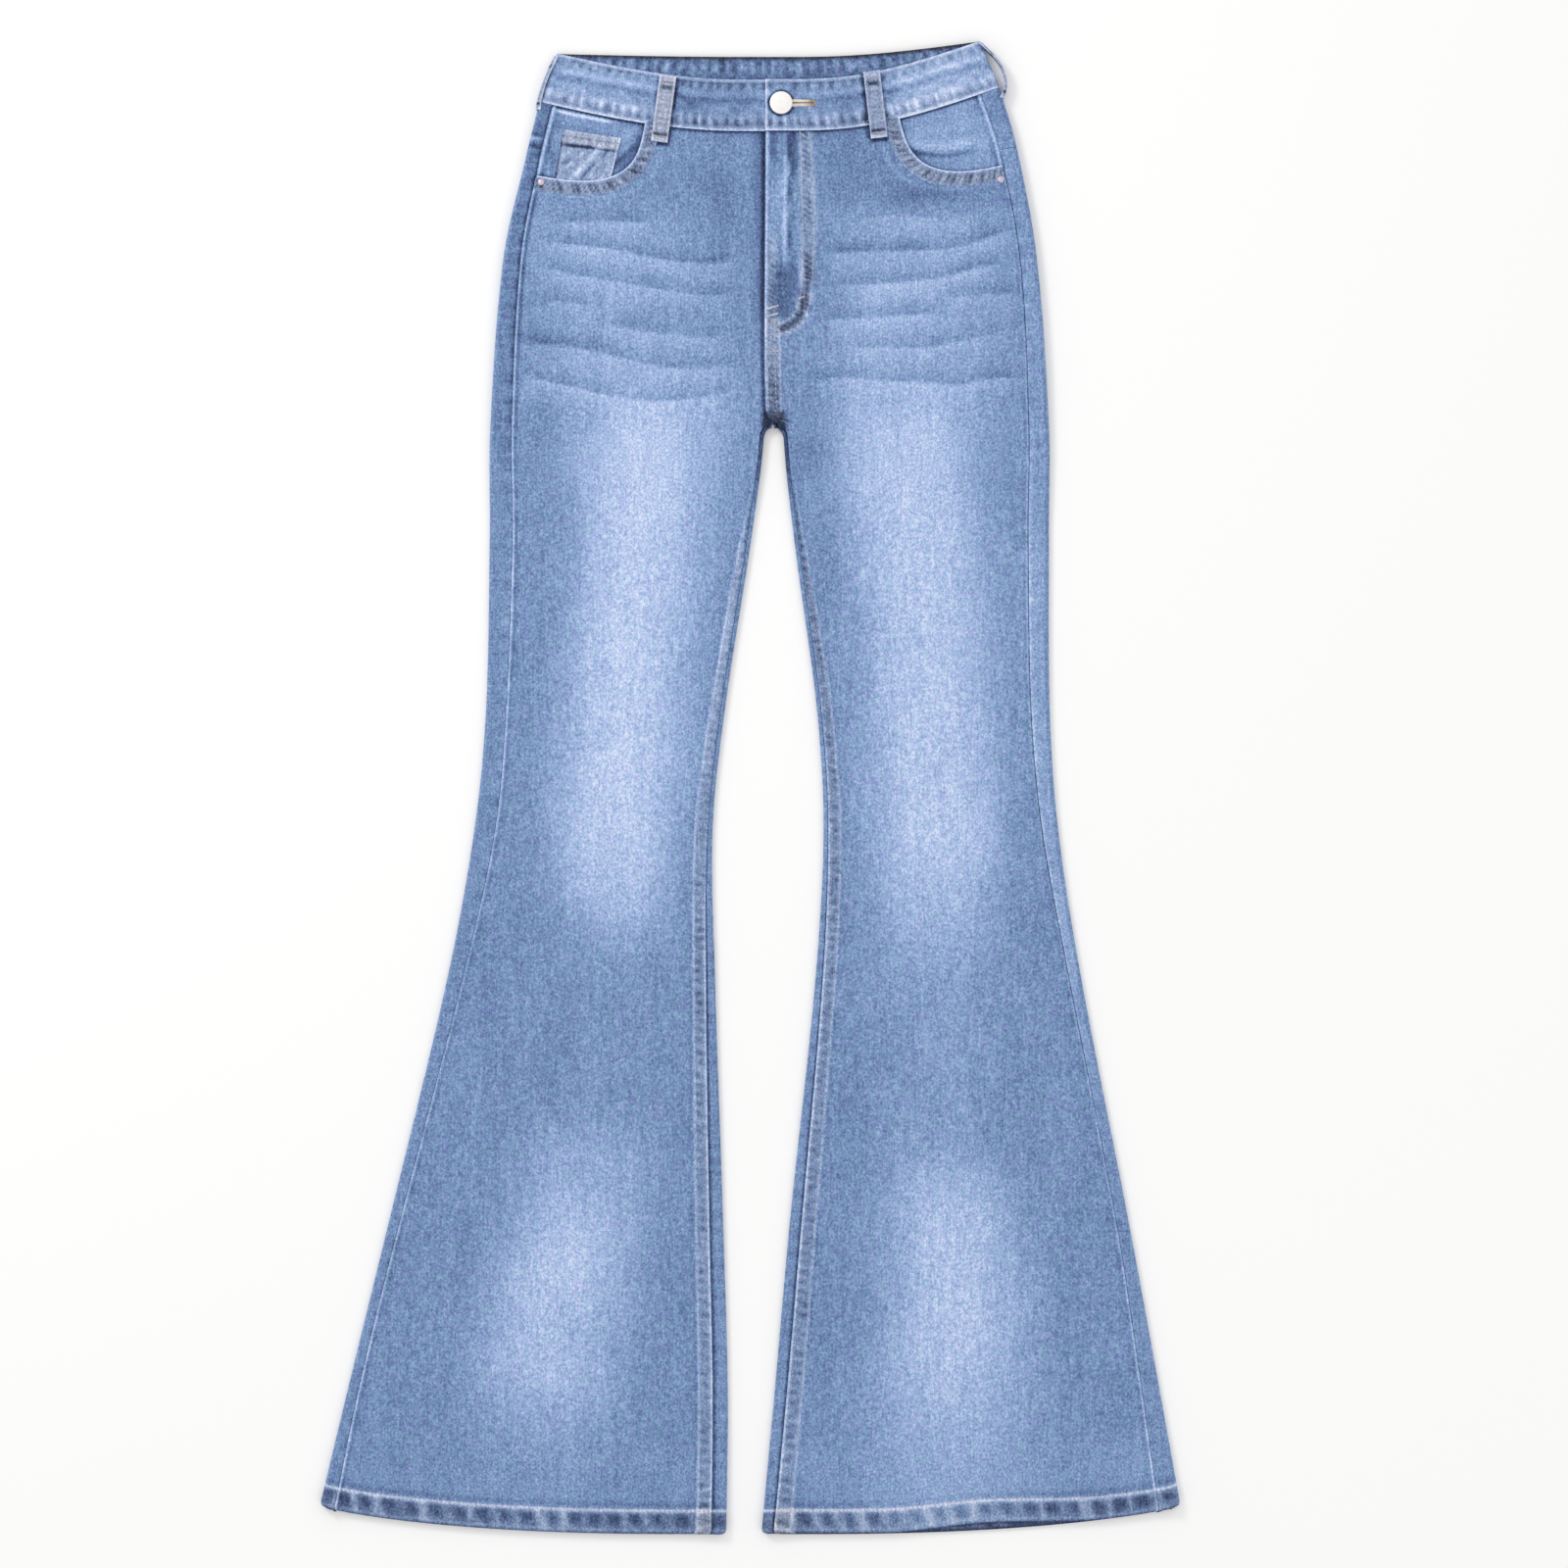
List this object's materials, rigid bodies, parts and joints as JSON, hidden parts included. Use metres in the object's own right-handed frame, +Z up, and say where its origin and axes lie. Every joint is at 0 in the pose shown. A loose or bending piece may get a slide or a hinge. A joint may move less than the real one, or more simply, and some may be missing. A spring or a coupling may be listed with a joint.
{
  "type": "flared jeans",
  "caption": "Flared jeans in washed mid-blue stretch denim, lying flat on their back with the fly up.",
  "frame": {"origin": "centre of the garment's box, on the surface that it lies on", "axes": "+Y from the hems to the waist, +Z up from the surface, +X towards the wearer's left leg"},
  "size_m": [0.6472, 1.1259, 0.0115],
  "materials": {
    "front_denim": "washed denim, faded over the thigh",
    "back_denim": "washed denim",
    "band_denim": "washed denim, folded and stitched",
    "pocket_denim": "washed denim",
    "zip_tape": "woven tape",
    "pale_metal": "satin, slightly worn",
    "pink_metal": "dull pink-gold",
    "seam_thread": "faded sewing thread",
    "buttonhole_thread": "tan sewing thread"
  },
  "bodies": {
    "root": {"front_right": "front_denim", "front_left": "front_denim", "back_right": "back_denim", "back_left": "back_denim", "yoke_right": "back_denim", "yoke_left": "back_denim", "waistband": "band_denim", "pocket_facing_right": "pocket_denim", "pocket_facing_left": "pocket_denim", "coin_pocket": "pocket_denim", "back_pocket_right": "back_denim", "back_pocket_left": "back_denim", "belt_loop_front_right": "band_denim", "belt_loop_front_left": "band_denim", "belt_loop_side_right": "band_denim", "belt_loop_side_left": "band_denim", "belt_loop_back": "band_denim", "zip": "zip_tape", "button": "pale_metal", "rivet_right": "pink_metal", "rivet_left": "pink_metal"}
  },
  "joints": []
}
